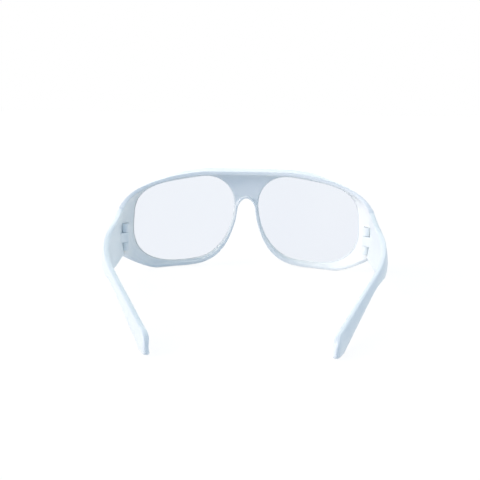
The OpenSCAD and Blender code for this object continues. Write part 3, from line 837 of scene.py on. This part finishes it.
def white_floor():
    """Pale where light falls on it, and nearly white where it is seen, but for its shadows."""
    material, tree, shader = new_material("floor_white")
    tone = ramp(tree, noise(tree, *FLOOR_TONE), FLOOR_DARK, FLOOR_LIGHT)
    tree.links.new(tone, shader.inputs["Base Color"])
    shader.inputs["Roughness"].default_value = FLOOR_ROUGH
    shader.inputs["Specular IOR Level"].default_value = FLOOR_GLOSS
    glow = new_node(tree, "ShaderNodeEmission")
    glow.inputs["Color"].default_value = WHITE
    glow.inputs["Strength"].default_value = GLOW_STRENGTH
    share = new_node(tree, "ShaderNodeMath", operation="MULTIPLY")
    share.inputs[1].default_value = FLOOR_GLOW
    tree.links.new(seen_directly(tree), share.inputs[0])
    whole = mixed(tree, share.outputs[0], shader.outputs[0], glow.outputs[0])
    tree.links.new(whole, tree.nodes["Material Output"].inputs["Surface"])
    return material


floor_mesh = bpy.data.meshes.new("floor")
corners = [(-FLOOR_HALF_M, -FLOOR_HALF_M), (FLOOR_HALF_M, -FLOOR_HALF_M),
           (FLOOR_HALF_M, FLOOR_HALF_M), (-FLOOR_HALF_M, FLOOR_HALF_M)]
floor_mesh.from_pydata([(x, y, cad_box[0].z - FLOOR_DROP_M) for x, y in corners], [], [(0, 1, 2, 3)])
floor = bpy.data.objects.new("floor", floor_mesh)
bpy.context.scene.collection.objects.link(floor)
floor_mesh.materials.append(white_floor())


def studio_world():
    """White where it is seen, and a dim blue light on the object's shaded sides."""
    world = bpy.data.worlds.new("studio")
    world.use_nodes = True
    tree = world.node_tree
    tree.nodes.clear()
    room = new_node(tree, "ShaderNodeBackground")
    room.inputs["Color"].default_value = AMBIENT
    backdrop = new_node(tree, "ShaderNodeBackground")
    backdrop.inputs["Color"].default_value = WHITE
    whole = mixed(tree, seen_directly(tree), room.outputs[0], backdrop.outputs[0])
    tree.links.new(whole, new_node(tree, "ShaderNodeOutputWorld").inputs["Surface"])
    return world


bpy.context.scene.world = studio_world()


def sun(name, turn, rise, spread, power, colour):
    """A soft lamp far away: turned from +X towards +Y, above the floor and spread, in degrees."""
    data = bpy.data.lights.new(name, "SUN")
    data.angle = math.radians(spread)
    data.energy = power
    data.color = colour
    lamp = bpy.data.objects.new(name, data)
    bpy.context.scene.collection.objects.link(lamp)
    lamp.rotation_mode = "QUATERNION"
    turn, rise = math.radians(turn), math.radians(rise)
    direction = Vector((math.cos(rise) * math.cos(turn), math.cos(rise) * math.sin(turn), math.sin(rise)))
    lamp.rotation_quaternion = direction.to_track_quat("Z", "Y")


sun("key", 20, 20, 45, 1.9, (1.0, 0.85, 0.80))
sun("high", 35, 50, 40, 1.0, (1.0, 0.95, 0.78))
sun("far_side", 180, 25, 60, 1.1, (1.0, 0.92, 0.77))
sun("front", -90, 30, 60, 0.86, (0.98, 1.0, 0.80))

# The camera, fitted to the photograph: its direction, its distance from the point that it
# aims at, and that point's height and place in the picture
CAM_ELEVATION, CAM_TURN, CAM_ROLL = map(math.radians, (12.0, -0.97, 0.81))
CAM_DISTANCE, AIM_Z = 400.0, 29.1
FOCAL_PX, FRAME_PX, AIM_U_PX, AIM_V_PX = 640.0, 480.0, 246.1, 218.1
SENSOR = 36.0
CLIP_START_M, CLIP_END_M = 0.01, 50
back = Vector((math.sin(CAM_TURN) * math.cos(CAM_ELEVATION),
               math.cos(CAM_TURN) * math.cos(CAM_ELEVATION), math.sin(CAM_ELEVATION)))
level_right = (-back).cross(Vector((0, 0, 1))).normalized()
level_up = level_right.cross(-back)
right = math.cos(CAM_ROLL) * level_right + math.sin(CAM_ROLL) * level_up
up = -math.sin(CAM_ROLL) * level_right + math.cos(CAM_ROLL) * level_up
aside = (AIM_U_PX - FRAME_PX / 2) / FOCAL_PX * CAM_DISTANCE
below = (AIM_V_PX - FRAME_PX / 2) / FOCAL_PX * CAM_DISTANCE
eye = Vector((0, FRONT_Y, AIM_Z)) + CAM_DISTANCE * back - aside * right + below * up
camera_data = bpy.data.cameras.new("camera")
camera_data.sensor_width = SENSOR
camera_data.lens = FOCAL_PX / FRAME_PX * SENSOR
camera_data.clip_start, camera_data.clip_end = CLIP_START_M, CLIP_END_M
camera = bpy.data.objects.new("camera", camera_data)
bpy.context.scene.collection.objects.link(camera)
facing = Matrix((right, up, back)).transposed().to_4x4()
camera.matrix_world = Matrix.Translation(eye * MM) @ facing
bpy.context.scene.camera = camera

bpy.context.scene.view_settings.view_transform = "Standard"
